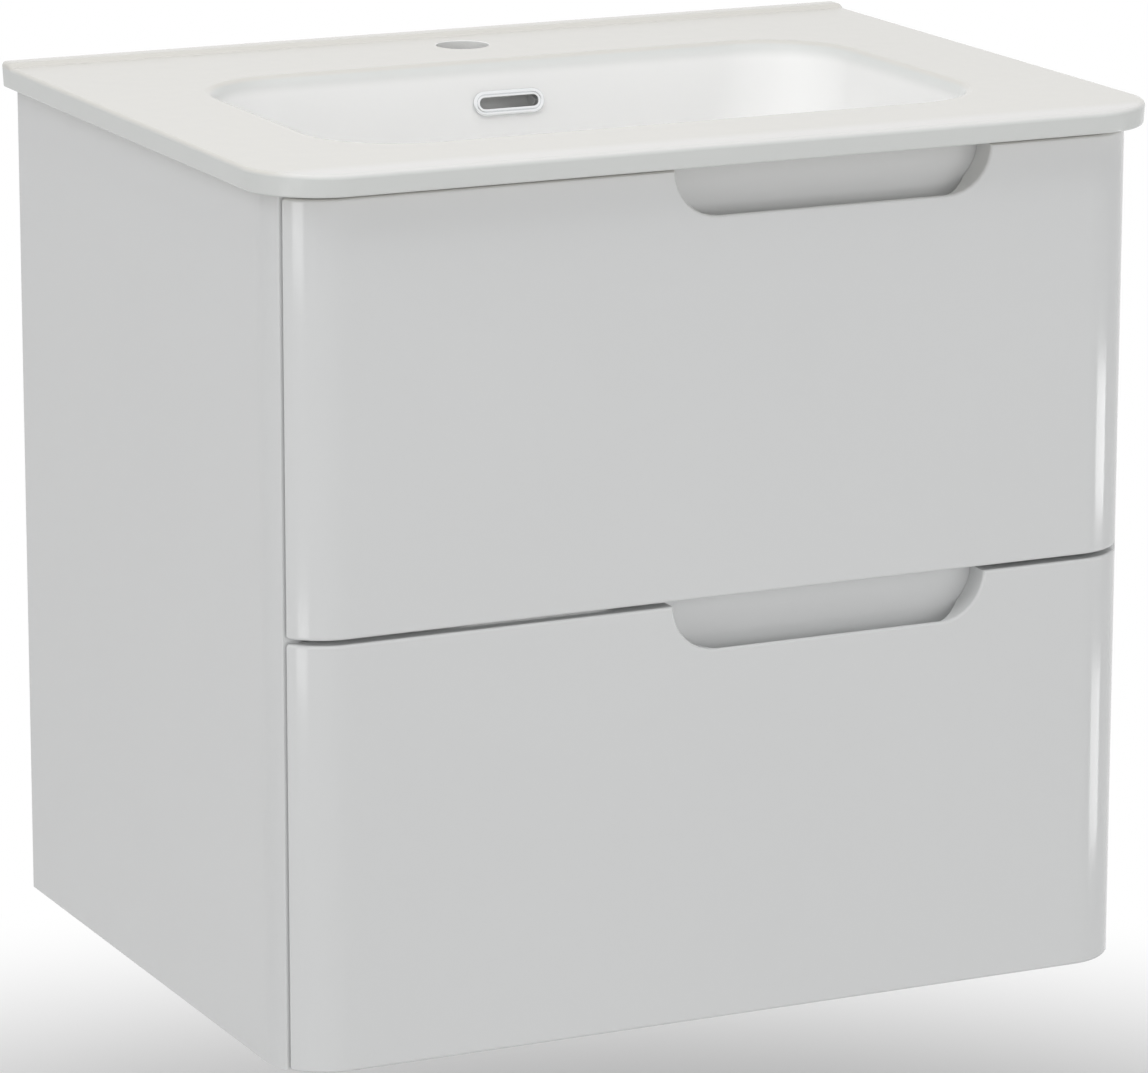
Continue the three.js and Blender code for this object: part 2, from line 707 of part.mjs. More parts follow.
function addRunner(side, base, prefix) {
  const where = side < 0 ? 'left' : 'right';
  const t = runner.sheet;
  const clearOfPanel = FIT / 2;
  const cabinetRail = sideSection(side, base, [
    [clearOfPanel, 0],
    [runner.width, 0],
    [runner.width, runner.lip],
    [runner.width - t, runner.lip],
    [runner.width - t, t],
    [clearOfPanel + t, t],
    [clearOfPanel + t, runner.plateHeight],
    [clearOfPanel, runner.plateHeight],
  ]);
  add(`${prefix}_cabinet_rail_${where}`, lengthwise(cabinetRail, runnerFront, runnerBack), material.zincSteel);

  // The middle rail is an I-section that carries rollers above and below.
  const near = (runner.width - runner.middleWidth) / 2;
  const [low, high] = [t + runner.rolling, t + runner.rolling + runner.middleHeight];
  const [near2, far] = [near + runner.middleWidth, near + runner.middleWidth / 2];
  const middleRail = sideSection(side, base, [
    [near, low],
    [near2, low],
    [near2, low + t],
    [far + t / 2, low + t],
    [far + t / 2, high - t],
    [near2, high - t],
    [near2, high],
    [near, high],
    [near, high - t],
    [far - t / 2, high - t],
    [far - t / 2, low + t],
    [near, low + t],
  ]);
  const bar = lengthwise(middleRail, runnerFront + 4, runnerBack - 4);
  const rollers = [];
  for (const along of [0.08, 0.3, 0.52]) {
    for (const [up, y] of [[low - runner.rollerRadius + 0.1, 1 - along], [high + runner.rollerRadius - 0.1, along]]) {
      const roller = new THREE.CylinderGeometry(runner.rollerRadius, runner.rollerRadius, runner.middleWidth - 3, 8);
      roller.rotateZ(Math.PI / 2);
      rollers.push(roller.translate(side * (insideHalf - far), runnerFront + runnerLength * y, base + up));
    }
  }
  add(`${prefix}_middle_rail_${where}`, join(bar, ...rollers), material.zincSteel);

  // The drawer rail caps the middle rail.
  const under = high + runner.rolling;
  const [capNear, capFar] = [clearOfPanel + t + 0.4, runner.width - t - 0.6];
  const drawerRail = sideSection(side, base, [
    [capNear, low + 4],
    [capNear + t, low + 4],
    [capNear + t, under],
    [capFar - t, under],
    [capFar - t, runner.lip + 2],
    [capFar, runner.lip + 2],
    [capFar, under + t],
    [capNear, under + t],
  ]);
  add(`${prefix}_drawer_rail_${where}`, lengthwise(drawerRail, runnerFront + 2, runnerBack - 8), material.zincSteel);
}

const drawerRailTop = runner.sheet * 2 + 2 * runner.rolling + runner.middleHeight;

// ---------------------------------------------------------------- drawer boxes

const boxFoot = drawerRailTop + FIT;
const boxFront = frontBack + FIT;
const boxBack = boxFront + runnerLength;
const floorFoot = boxFoot + drawer.sheet;
const floorTop = floorFoot + drawer.board;
const boxHalf = insideHalf - drawer.sideClearance - drawer.sideWidth - FIT;

/** A double-walled sheet side with a round top and a flange under the drawer's floor. */
function addDrawerSide(side, base, prefix, height) {
  const where = side < 0 ? 'left' : 'right';
  const outer = drawer.sideClearance;
  const inner = outer + drawer.sideWidth;
  const radius = drawer.sideWidth / 2;
  const round = height - radius;
  const section = sideSection(side, base, [
    [outer, boxFoot],
    [inner + drawer.flange, boxFoot],
    [inner + drawer.flange, floorFoot],
    [inner, floorFoot],
    ...arc(outer + radius, round, radius, 0, 180, 8).map((p) => [p.x, p.y]),
  ]);
  const hollow = sideSection(side, base, [
    [outer + drawer.sheet, floorFoot],
    [inner - drawer.sheet, floorFoot],
    ...arc(outer + radius, round, radius - drawer.sheet, 0, 180, 8).map((p) => [p.x, p.y]),
  ]);
  const plate = 2;
  add(`${prefix}_side_${where}`, cut(
    lengthwise(section, boxFront + plate + FIT, boxBack),
    lengthwise(hollow, boxFront, boxBack + 1),
  ), material.coatedSteel);

  // The bracket's plate is screwed to the front and its tongue is clamped inside the double wall.
  const clear = drawer.sheet + 0.8;
  const at = (inwards) => side * (insideHalf - inwards);
  const bracket = join(
    block([at(outer), boxFront, base + boxFoot], [at(inner), boxFront + plate, base + height - radius]),
    block([at(outer + clear), boxFront + 1, base + floorFoot + 1], [at(inner - clear), boxFront + 42, base + round - 1]),
  );
  add(`${prefix}_front_bracket_${where}`, bracket, material.zincSteel);
}

function addUpperBox(base, height) {
  [-1, 1].forEach((side) => addDrawerSide(side, base, 'upper', height));
  const half = notch.width / 2;
  const deepest = boxBack - notch.depth;
  const inner = new THREE.Vector2(half - notch.radius, deepest + notch.radius);
  const floor = new THREE.Shape();
  floor.moveTo(-boxHalf, boxFront);
  floor.lineTo(boxHalf, boxFront);
  floor.lineTo(boxHalf, boxBack);
  floor.lineTo(half, boxBack);
  floor.absarc(inner.x, inner.y, notch.radius, 0, -Math.PI / 2, true);
  floor.absarc(-inner.x, inner.y, notch.radius, -Math.PI / 2, -Math.PI, true);
  floor.lineTo(-half, boxBack);
  floor.lineTo(-boxHalf, boxBack);
  add('upper_bottom', upright(floor, base + floorFoot + FIT, base + floorTop), material.melamine);

  // The shroud stands on the floor round the notch, with a rim along its top.
  const uShape = (inside, outside) => {
    const wall = new THREE.Shape();
    wall.moveTo(half + outside, boxBack);
    wall.absarc(inner.x, inner.y, notch.radius + outside, 0, -Math.PI / 2, true);
    wall.absarc(-inner.x, inner.y, notch.radius + outside, -Math.PI / 2, -Math.PI, true);
    wall.lineTo(-half - outside, boxBack);
    wall.lineTo(-half - inside, boxBack);
    wall.absarc(-inner.x, inner.y, notch.radius + inside, -Math.PI, -Math.PI / 2, false);
    wall.absarc(inner.x, inner.y, notch.radius + inside, -Math.PI / 2, 0, false);
    wall.lineTo(half + inside, boxBack);
    return wall;
  };
  const stand = base + floorTop + FIT;
  const shroud = join(
    upright(uShape(1, 1 + notch.wall), stand, base + height),
    upright(uShape(0, 1 + notch.wall + notch.rim), base + height - 3, base + height),
  );
  add('upper_trap_shroud', shroud, material.mouldedPlastic);

  for (const side of [-1, 1]) {
    const x0 = side * (half + 1 + notch.wall + notch.rim + FIT);
    add(`upper_back_${side < 0 ? 'left' : 'right'}`, block(
      [x0, boxBack - drawer.board, stand],
      [side * boxHalf, boxBack, base + height],
    ), material.melamine);
  }
}

function addLowerBox(base, height) {
  [-1, 1].forEach((side) => addDrawerSide(side, base, 'lower', height));
  add('lower_bottom', block(
    [-boxHalf, boxFront, base + floorFoot + FIT],
    [boxHalf, boxBack, base + floorTop],
  ), material.melamine);
  const rodHeight = base + floorTop + drawer.gallery;
  add('lower_back', block(
    [-boxHalf, boxBack - drawer.board, base + floorTop + FIT],
    [boxHalf, boxBack, rodHeight + drawer.backAboveGallery],
  ), material.melamine);

  // A gallery rod above each side, from the front to the back board, with a collar at each end.
  const [rodFront, rodBack] = [boxFront, boxBack - drawer.board - FIT];
  for (const side of [-1, 1]) {
    const x = side * (boxHalf - drawer.galleryCollar - 1);
    const turned = (radius, length, y) => {
      const bar = new THREE.CylinderGeometry(radius, radius, length, 16);
      return bar.translate(x, y + length / 2, rodHeight);
    };
    add(`lower_gallery_rod_${side < 0 ? 'left' : 'right'}`, join(
      turned(drawer.galleryRadius, rodBack - rodFront - 1, rodFront + 0.5),
      turned(drawer.galleryCollar, 6, rodFront),
      turned(drawer.galleryCollar, 6, rodBack - 6),
    ), material.zincSteel);
  }
}

// ---------------------------------------------------------------- assembly

const bossEnd = addBasin();
addOverflowRing();
addCarcass();
[-1, 1].forEach(addHanger);

const lowerFrontFoot = 0;
const upperFrontFoot = frontHeight + front.gap;
const basesOf = { lower: lowerFrontFoot + drawer.base, upper: upperFrontFoot + drawer.base };
const heightUnderBasin = bossEnd - drawer.basinClearance - basesOf.upper;
const sideHeight = drawer.sideHeights.filter((height) => height <= heightUnderBasin).pop();

addFront('upper_front', upperFrontFoot);
addFront('lower_front', lowerFrontFoot);
addGripBacking('upper_grip_backing', upperFrontFoot);
addGripBacking('lower_grip_backing', lowerFrontFoot);
for (const [prefix, base] of Object.entries(basesOf)) {
  [-1, 1].forEach((side) => addRunner(side, base, prefix));
}
addUpperBox(basesOf.upper, sideHeight);
addLowerBox(basesOf.lower, sideHeight);

vanity.position.z = -hangingRailMiddle;

export default vanity;
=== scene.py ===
# A wall-hung bathroom vanity: the finish of every surface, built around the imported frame.
# The frame is in metres with +Z up; the wall is the plane y = 0 and the drawers open towards -y.
# Sizes below are in millimetres, as on a drawing, and turn into metres where a mesh is made.
import json
import math
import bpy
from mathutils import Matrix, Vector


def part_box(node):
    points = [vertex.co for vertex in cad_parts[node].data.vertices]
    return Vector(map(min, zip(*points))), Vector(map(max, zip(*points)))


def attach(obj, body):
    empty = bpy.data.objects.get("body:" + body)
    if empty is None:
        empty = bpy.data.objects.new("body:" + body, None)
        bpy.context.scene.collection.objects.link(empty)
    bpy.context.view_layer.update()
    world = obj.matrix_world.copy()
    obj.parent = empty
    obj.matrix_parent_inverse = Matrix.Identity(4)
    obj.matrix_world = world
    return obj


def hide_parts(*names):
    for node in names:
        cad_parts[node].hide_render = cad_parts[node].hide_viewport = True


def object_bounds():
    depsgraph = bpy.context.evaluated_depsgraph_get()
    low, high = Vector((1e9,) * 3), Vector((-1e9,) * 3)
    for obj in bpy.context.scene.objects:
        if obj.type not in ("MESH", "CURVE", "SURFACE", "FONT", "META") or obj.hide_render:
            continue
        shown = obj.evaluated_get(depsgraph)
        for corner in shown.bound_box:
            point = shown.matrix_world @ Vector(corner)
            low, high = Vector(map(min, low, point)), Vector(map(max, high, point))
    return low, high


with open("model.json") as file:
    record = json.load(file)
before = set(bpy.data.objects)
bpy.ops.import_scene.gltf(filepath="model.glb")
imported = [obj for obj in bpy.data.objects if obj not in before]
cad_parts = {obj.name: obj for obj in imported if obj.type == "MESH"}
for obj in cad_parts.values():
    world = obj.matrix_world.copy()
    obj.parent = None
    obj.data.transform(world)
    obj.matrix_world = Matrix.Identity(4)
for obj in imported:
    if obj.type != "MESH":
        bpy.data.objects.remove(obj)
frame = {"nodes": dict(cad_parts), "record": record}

from types import SimpleNamespace as Sizes

import bmesh
import bpy
from mathutils import Matrix, Vector

CAD_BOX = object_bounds()
MM = 0.001


# ---------------------------------------------------------------- sizes

def node_box(name):
    """Lowest and highest corner of a CAD node, in millimetres."""
    low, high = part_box(name)
    return low / MM, high / MM


basin_low, basin_high = node_box("basin")
panel_low, panel_high = node_box("side_panel_right")
front_low, _ = node_box("upper_front")
MOUNT = {mount["name"]: Vector(mount["pos_m"]) / MM for mount in frame["record"]["mounts"]}

DECK_TOP = MOUNT["tap_deck"].z
FIT = 0.3                 # clearance between pieces that rest against each other

SLAB = Sizes(
    half_width=basin_high.x,
    depth=-basin_low.y,
    front_radius=50,
    back_radius=3,
    edge_radius=3,
    lower_edge_radius=1.5,
    draft=0.7,            # the mould leaves the lower edge this much inside the upper
    lip_height=basin_high.z - DECK_TOP,   # splash lip along the wall
    lip_flat=12,
    lip_fall=7,
    crown_width=25,       # the deck rolls off towards the front edge
    crown_drop=1,
)
SLAB_UNDER = panel_high.z + FIT

BOWL = Sizes(
    side_deck=83,         # deck left beside, before and behind the bowl
    front_deck=83,
    back_deck=121.4,
    corner_radius=58,
    corner_growth=0.8,    # the corners open out by this much of the walls' way in
    rim_radius=9,
    depth=98,
    wall_lean=15,         # degrees from vertical
    foot_radius=42,
    floor_fall=4,         # degrees
    wall=9,
)
BOWL.half_width = SLAB.half_width - BOWL.side_deck
BOWL.half_depth = (SLAB.depth - BOWL.front_deck - BOWL.back_deck) / 2
BOWL.middle = -(BOWL.back_deck + BOWL.half_depth)

DRAIN = Sizes(y=MOUNT["waste_underside"].y, radius=23, seat_radius=33, seat_depth=3, boss_radius=40)
TAP = Sizes(radius=17.5, from_wall=-MOUNT["tap_deck"].y, glaze_radius=0.6)
OVERFLOW = Sizes(
    depth=27.3, straight=34.4, radius=3.7, sleeve=1, sleeve_length=4, wall_passage=12,
    flange=4.5, flange_thickness=1.6, flange_round=1, bore_bevel=0.5, groove=1.9, groove_depth=0.5,
    duct_width=46, duct_height=11, duct_wall=6,
)

CORNER_RADIUS = 40        # plan round shared by the side panels and the drawer fronts
CORNER_Y = front_low.y + CORNER_RADIUS
INSIDE = panel_low.x      # the side panels' inner faces, from the middle
RUNNER_SHEET = 1.5        # strip steel of the runners
CUT_ABOVE = 10            # a cutting tool stands this far over what it cuts
CUT_BELOW = 1             # and this far under it
ROUND_SIDES = 64          # flats that a drilled hole or a boss is drawn with
CREASE = 32               # degrees; an edge flatter than this is shaded smooth

FITTINGS = Sizes(
    end_inset=34,         # cam fittings, from a board's ends
    edge_inset=20,        # and from its long edges
    panel_inset=60,       # from the bottom panel's front and back edges
    adjusters=(-4, 15),   # heights of a hanger's two adjusting screws
    rail_holes=(37, 165, 293),   # runner screws, behind the rail's front end
    hole_drop=7,          # and under its upper edge
    bumper_aside=5.5,     # beyond the side panel's inner face
    bumper_inset=24,      # from a front's upper and lower edge
)


def sine(degrees):
    return math.sin(math.radians(degrees))


def cosine(degrees):
    return math.cos(math.radians(degrees))


def tangent(degrees):
    return math.tan(math.radians(degrees))


# ---------------------------------------------------------------- materials

def colour(code):
    """An sRGB hex colour as the linear values that shaders take."""
    channels = [int(code[i:i + 2], 16) / 255 for i in (1, 3, 5)]
    return (*[c / 12.92 if c <= 0.04045 else ((c + 0.055) / 1.055) ** 2.4 for c in channels], 1.0)


def add_node(tree, kind, inputs=None, **settings):
    """Adds a shader node; an input is a value, or the output socket that feeds it.

    Inputs go by name, or by number where a node has several of one name, as a mix or a sum has.
    """
    node = tree.nodes.new("ShaderNode" + kind)
    for name, value in settings.items():
        setattr(node, name, value)
    for name, value in (inputs or {}).items():
        socket = node.inputs[name]
        if isinstance(value, bpy.types.NodeSocket):
            tree.links.new(value, socket)
        else:
            socket.default_value = value
    return node


def new_material(name, **surface):
    """A material with one principled surface, and the piece's own coordinates to pattern it with."""
    material = bpy.data.materials.new(name)
    material.use_nodes = True
    tree = material.node_tree
    tree.nodes.clear()
    shader = add_node(tree, "BsdfPrincipled", {k.replace("_", " "): v for k, v in surface.items()})
    add_node(tree, "OutputMaterial", {"Surface": shader.outputs[0]})
    here = add_node(tree, "TexCoord").outputs["Object"]
    return material, tree, shader, here


def finish(
    name, pale, deep, cloud, smooth, rough, patch, bump=None, bump_height=0, bump_detail=0, **surface,
):
    """A slow drift between two colours, an uneven gloss and, if asked, a fine surface texture.

    The clouds of colour, the patches of gloss and the bumps are given by their size in millimetres.
    """
    material, tree, shader, here = new_material(name, **surface)
    clouds = add_node(tree, "TexNoise", {"Vector": here, "Scale": 1 / (cloud * MM), "Detail": 1.0})
    tint = add_node(tree, "Mix", {0: clouds.outputs[0], 6: colour(deep), 7: colour(pale)}, data_type="RGBA")
    patches = add_node(tree, "TexNoise", {"Vector": here, "Scale": 1 / (patch * MM), "Detail": 2.0})
    gloss = add_node(tree, "MapRange", {"Value": patches.outputs[0], "To Min": smooth, "To Max": rough})
    tree.links.new(tint.outputs[2], shader.inputs["Base Color"])
    tree.links.new(gloss.outputs[0], shader.inputs["Roughness"])
    if bump:
        bumps = add_node(tree, "TexNoise", {"Vector": here, "Scale": 1 / (bump * MM), "Detail": bump_detail})
        relief = add_node(tree, "Bump", {"Height": bumps.outputs[0], "Distance": bump_height * MM})
        tree.links.new(relief.outputs[0], shader.inputs["Normal"])
    return material


def glazed_china():
    """Vitreous china under a fired glaze: hard and wet-looking, with a gloss that ripples a little.

    Its colour carries painted light: a warm cast painted on the deck's top, a painted highlight along the
    deck's rolled front, and a painted brightness inside the bowl.
    """
    gloss_patch, smooth, rough = 14, 0.16, 0.22
    ripple, ripple_height = 45, 0.03
    material, tree, shader, here = new_material("glazed_china", IOR=1.52)
    x, y, z = add_node(tree, "SeparateXYZ", {"Vector": here}).outputs
    aside = add_node(tree, "Math", {0: x}, operation="ABSOLUTE").outputs[0]
    front = -SLAB.depth
    share = {}
    for name, length, start, end in (
        # a warm cast painted on the deck's top: #DEDCD6 there, where the sides keep the china's #DBDDDB
        ("painted_warm_top", z, DECK_TOP - 3, DECK_TOP - 0.5),
        # a painted highlight: the deck's front 10 mm painted paler, fading out by 28 mm from the edge
        ("painted_roll_highlight", y, front + 28, front + 10),
        ("below_rim", z, DECK_TOP - 1, DECK_TOP - 12),
        ("within_ends", aside, SLAB.half_width - 10, SLAB.half_width - 20),
        ("behind_front", y, front + 12, front + 22),
    ):
        limits = {"Value": length, "From Min": start * MM, "From Max": end * MM}
        share[name] = add_node(tree, "MapRange", limits, interpolation_type="SMOOTHSTEP").outputs[0]
    # Painted light: inside the bowl the glaze is painted near-white, a painted brightness where the bowl's
    # walls would fall into shade.
    painted_bowl_light = share["below_rim"]
    for name in ("within_ends", "behind_front"):
        painted_bowl_light = add_node(tree, "Math", {0: painted_bowl_light, 1: share[name]}, operation="MULTIPLY").outputs[0]
    # E8E7E5 is the painted highlight on the rolled front, #DEDCD6 the deck with warm light painted in,
    # #DBDDDB the sides, #F7F7F6 the painted brightness in the bowl
    glaze = colour("#E8E7E5")
    for over, tone in ((share["painted_roll_highlight"], "#DEDCD6"), (share["painted_warm_top"], "#DBDDDB")):
        glaze = add_node(tree, "Mix", {0: over, 6: colour(tone), 7: glaze}, data_type="RGBA").outputs[2]
    glaze = add_node(tree, "Mix", {0: painted_bowl_light, 6: glaze, 7: colour("#F7F7F6")}, data_type="RGBA").outputs[2]
    tree.links.new(glaze, shader.inputs["Base Color"])
    patches = add_node(tree, "TexNoise", {"Vector": here, "Scale": 1 / (gloss_patch * MM), "Detail": 2.0})
    gloss = add_node(tree, "MapRange", {"Value": patches.outputs[0], "To Min": smooth, "To Max": rough})
    tree.links.new(gloss.outputs[0], shader.inputs["Roughness"])
    ripples = add_node(tree, "TexNoise", {"Vector": here, "Scale": 1 / (ripple * MM), "Detail": 1.0})
    relief = add_node(tree, "Bump", {"Height": ripples.outputs[0], "Distance": ripple_height * MM})
    tree.links.new(relief.outputs[0], shader.inputs["Normal"])
    return material


# Polyurethane lacquer sprayed on board: glossy, with a faint orange peel about 2 mm across.
LACQUER = finish(
    "sprayed_lacquer", pale="#DFE0E0", deep="#DDDEDE", cloud=160, smooth=0.10, rough=0.13, patch=30,
    bump=2.2, bump_height=0.004, bump_detail=1.0, IOR=1.5,
)
CHINA = glazed_china()
# The same glaze painted whiter on the tap hole's wall and inside the overflow duct: a painted brightness
# where these hollows would be in shade.
PAINTED_LIGHT_GLAZE = finish(
    "glaze_painted_brighter", pale="#FCFCFB", deep="#F7F7F5", cloud=14, smooth=0.1, rough=0.16, patch=10, IOR=1.52,
)
# The china where no glaze was poured: chalky, with a fine sandy tooth.
BISQUE = finish(
    "fired_bisque", pale="#DEDBD3", deep="#D3CFC6", cloud=3, smooth=0.8, rough=0.9, patch=4,
    bump=0.6, bump_height=0.05, bump_detail=3.0, IOR=1.5,
)
# Polished brass under bright chrome: a cool mirror, a little duller in patches.
CHROME = finish(
    "chromed_brass", pale="#EEEFF0", deep="#E9EBEC", cloud=12, smooth=0.16, rough=0.24, patch=1.5,
    Metallic=1.0,
)
# Melamine paper pressed on chipboard: silky, with a fine pearl emboss about 0.5 mm across.
MELAMINE = finish(
    "pressed_melamine", pale="#DEDFDE", deep="#DADCDB", cloud=60, smooth=0.42, rough=0.5, patch=4,
    bump=0.5, bump_height=0.015, bump_detail=3.0, IOR=1.5,
)
# Rolled steel strip with a clear-passivated zinc plate: cool grey with a soft cloudy lustre.
ZINC = finish(
    "zinc_plated_steel", pale="#C6CACB", deep="#B4B9BC", cloud=12, smooth=0.28, rough=0.42, patch=1.2,
    bump=0.8, bump_height=0.004, bump_detail=2.0, Metallic=1.0,
)
# Folded sheet steel under a baked powder coat: satin, with a tight orange peel about 1 mm across.
POWDER = finish(
    "powder_coated_steel", pale="#D3D6D6", deep="#CFD2D2", cloud=40, smooth=0.34, rough=0.42, patch=6,
    bump=1.0, bump_height=0.012, bump_detail=2.0, IOR=1.5,
)
# Injection-moulded plastic from a spark-eroded mould: matt, with an even 0.6 mm texture.
PLASTIC = finish(
    "moulded_polypropylene", pale="#BDC1C2", deep="#B5B9BA", cloud=25, smooth=0.48, rough=0.58, patch=2,
    bump=0.6, bump_height=0.02, bump_detail=2.0, IOR=1.49,
)
# Soft clear polyurethane dots: milky and slightly tacky, so never quite glossy.
BUMPER = finish(
    "cast_polyurethane", pale="#E4E7E8", deep="#DDE1E2", cloud=2, smooth=0.25, rough=0.35, patch=1.5,
    IOR=1.48,
)


# ---------------------------------------------------------------- outlines

def arc(centre, radius, start, end, steps):
    """Points of an arc in the plane, angles in degrees, both ends included."""
    angles = [math.radians(start + (end - start) * i / steps) for i in range(steps + 1)]
    return [Vector((centre[0] + radius * math.cos(a), centre[1] + radius * math.sin(a))) for a in angles]


def circle(centre, radius, steps):
    """Points round a full circle, without a doubled last one."""
    return arc(centre, radius, 0, 360 - 360 / steps, steps - 1)


def rounded_plan(left, right, near, back, front_corner, back_corner, steps=24):
    """A rounded rectangle; the two front corners may differ from the two at the back."""
    return [
        *arc((right - back_corner, back - back_corner), back_corner, 0, 90, steps),
        *arc((left + back_corner, back - back_corner), back_corner, 90, 180, steps),
        *arc((left + front_corner, near + front_corner), front_corner, 180, 270, steps),
        *arc((right - front_corner, near + front_corner), front_corner, 270, 360, steps),
    ]


def slot_outline(straight, radius, steps=16):
    """A slot with round ends, lying along x about the origin."""
    end = straight / 2
    return [*arc((end, 0), radius, -90, 90, steps), *arc((-end, 0), radius, 90, 270, steps)]


def quarter_round(radius, steps=4):
    """Steps of a quarter round: how far in, and how far along."""
    turns = [math.radians(90 * i / steps) for i in range(steps + 1)]
    return [(radius * (1 - math.sin(a)), radius * (1 - math.cos(a))) for a in turns]


def at_height(points, z):
    """A flat outline raised to a height."""
    return [Vector((p.x, p.y, z)) for p in points]


# ---------------------------------------------------------------- meshes

def mesh_object(name, points, faces, materials, slot=0):
    """A new piece from points in millimetres; slot picks the material of all its faces."""
    mesh = bpy.data.meshes.new(name)
    mesh.from_pydata([Vector(p) * MM for p in points], [], faces)
    for material in materials:
        mesh.materials.append(material)
    mesh.polygons.foreach_set("material_index", [slot] * len(mesh.polygons))
    piece = bpy.data.objects.new(name, mesh)
    bpy.context.scene.collection.objects.link(piece)
    return piece


def edit(piece, change=None):
    """Runs a change on a piece's mesh, if any, and turns its faces outwards."""
    mesh = bmesh.new()
    mesh.from_mesh(piece.data)
    if change:
        change(mesh)
    bmesh.ops.recalc_face_normals(mesh, faces=mesh.faces)
    mesh.to_mesh(piece.data)
    mesh.free()
    return piece


def loft(name, rings, materials=(), endless=False, slot=0):
    """A closed skin through rings of equally many points, with flat ends or joined end to end."""
    count = len(rings[0])
    faces = []
    for i in range(len(rings) if endless else len(rings) - 1):
        low, high = i * count, (i + 1) % len(rings) * count
        faces += [(low + j, low + (j + 1) % count, high + (j + 1) % count, high + j) for j in range(count)]
    if not endless:
        faces += [tuple(range(count)), tuple(range(len(rings) * count - count, len(rings) * count))]
    return edit(mesh_object(name, [p for ring in rings for p in ring], faces, materials, slot))


def post(name, radius, y, low, high, materials, slot=0):
    """An upright round bar on the middle line, at a distance y from the wall."""
    outline = circle((0, y), radius, ROUND_SIDES)
    return loft(name, [at_height(outline, low), at_height(outline, high)], materials, slot=slot)


def combine(stock, tools, operation="DIFFERENCE"):
    """Joins tools to a piece or cuts them out of it; the tools are used up."""
    for tool in tools:
        step = stock.modifiers.new("combine", "BOOLEAN")
        step.operation, step.object, step.solver = operation, tool, "MANIFOLD"
    graph = bpy.context.evaluated_depsgraph_get()
    shaped = bpy.data.meshes.new_from_object(stock.evaluated_get(graph))
    stock.modifiers.clear()
    stock.data = shaped
    for tool in tools:
        bpy.data.objects.remove(tool)
    return stock


def place(piece, body, replaces=(), angle=CREASE):
    """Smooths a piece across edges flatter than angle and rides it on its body."""
    mesh = piece.data
    mesh.polygons.foreach_set("use_smooth", [True] * len(mesh.polygons))
    mesh.set_sharp_from_angle(angle=math.radians(angle))
    piece.modifiers.new("even shading", "WEIGHTED_NORMAL").keep_sharp = True
    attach(piece, body)
    if replaces:
        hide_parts(*replaces)
    return piece


# ---------------------------------------------------------------- basin

def smooth_step(t):
    """Rises from 0 to 1 without a corner at either end."""
    t = min(1.0, max(0.0, t))
    return t * t * (3 - 2 * t)


def deck_rise(y):
    """How far the deck stands above its general level: the lip at the wall, the roll-off in front."""
    lip = SLAB.lip_height * smooth_step((SLAB.lip_flat + SLAB.lip_fall + y) / SLAB.lip_fall)
    into_crown = max(0.0, (SLAB.crown_width - (SLAB.depth + y)) / SLAB.crown_width)
    return lip - SLAB.crown_drop * into_crown ** 2


def basin_slab(materials):
    """The deck's slab, scored across where it rises and falls so that it can bend there."""
    def plan(inset, draft=0.0):
        return rounded_plan(
            left=-SLAB.half_width + inset + draft, right=SLAB.half_width - inset - draft,
            near=-SLAB.depth + inset + draft, back=-inset,
            front_corner=SLAB.front_radius - inset - draft, back_corner=SLAB.back_radius - inset,
        )

    lower, upper = quarter_round(SLAB.lower_edge_radius), quarter_round(SLAB.edge_radius, 6)
    rings = [at_height(plan(inset, SLAB.draft), SLAB_UNDER + along) for inset, along in lower]
    rings += [at_height(plan(inset), DECK_TOP - along) for inset, along in reversed(upper)]
    slab = loft("basin_shell", rings, materials)
    lip_steps = [-(SLAB.lip_flat + SLAB.lip_fall * i / 8) for i in range(9)]
    crown_steps = [-(SLAB.depth - SLAB.crown_width * i / 8) for i in range(1, 9)]

    def bend(mesh):
        for y in lip_steps + crown_steps:
            bmesh.ops.bisect_plane(
                mesh, geom=[*mesh.verts, *mesh.edges, *mesh.faces], dist=1e-7,
                plane_co=(0, y * MM, 0), plane_no=(0, 1, 0),
            )
        for vertex in mesh.verts:
            if vertex.co.z > (SLAB_UNDER + SLAB.edge_radius) * MM:
                vertex.co.z += deck_rise(vertex.co.y / MM) * MM

    return edit(slab, bend)


def bowl_profile():
    """The bowl's wall from rim to floor, as (distance in, depth below the deck, lean in degrees)."""
    def spread(start, end, steps):
        return [start + (end - start) * i / steps for i in range(steps + 1)]

    lean, floor_lean = BOWL.wall_lean, 90 - BOWL.floor_fall
    rim_radius, foot_radius = BOWL.rim_radius, BOWL.foot_radius
    rim = [(-rim_radius * (1 - cosine(a)), rim_radius * (1 - sine(a)), a) for a in spread(90, lean, 12)]
    inset, depth, _ = rim[-1]
    foot_top = BOWL.depth - foot_radius * (sine(floor_lean) - sine(lean))
    foot_inset = inset + (foot_top - depth) * tangent(lean)
    foot = [(
        foot_inset + foot_radius * (cosine(lean) - cosine(a)),
        foot_top + foot_radius * (sine(a) - sine(lean)),
        a,
    ) for a in spread(lean, floor_lean, 16)]
    return rim + foot


def bowl_ring(place_on_wall, grow=0.0):
    """The bowl's plan at one place on its profile, grown outwards for the outer skin."""
    inset, depth, tilt = place_on_wall
    outwards = grow * cosine(tilt)
    half_width = BOWL.half_width - inset + outwards
    half_depth = BOWL.half_depth - inset + outwards
    opened = inset * BOWL.corner_growth if inset > 0 else -inset
    corner = min(BOWL.corner_radius + opened + outwards, half_depth - 1)
    plan = rounded_plan(
        -half_width, half_width, BOWL.middle - half_depth, BOWL.middle + half_depth, corner, corner,
    )
    return at_height(plan, DECK_TOP - depth - grow * sine(tilt))


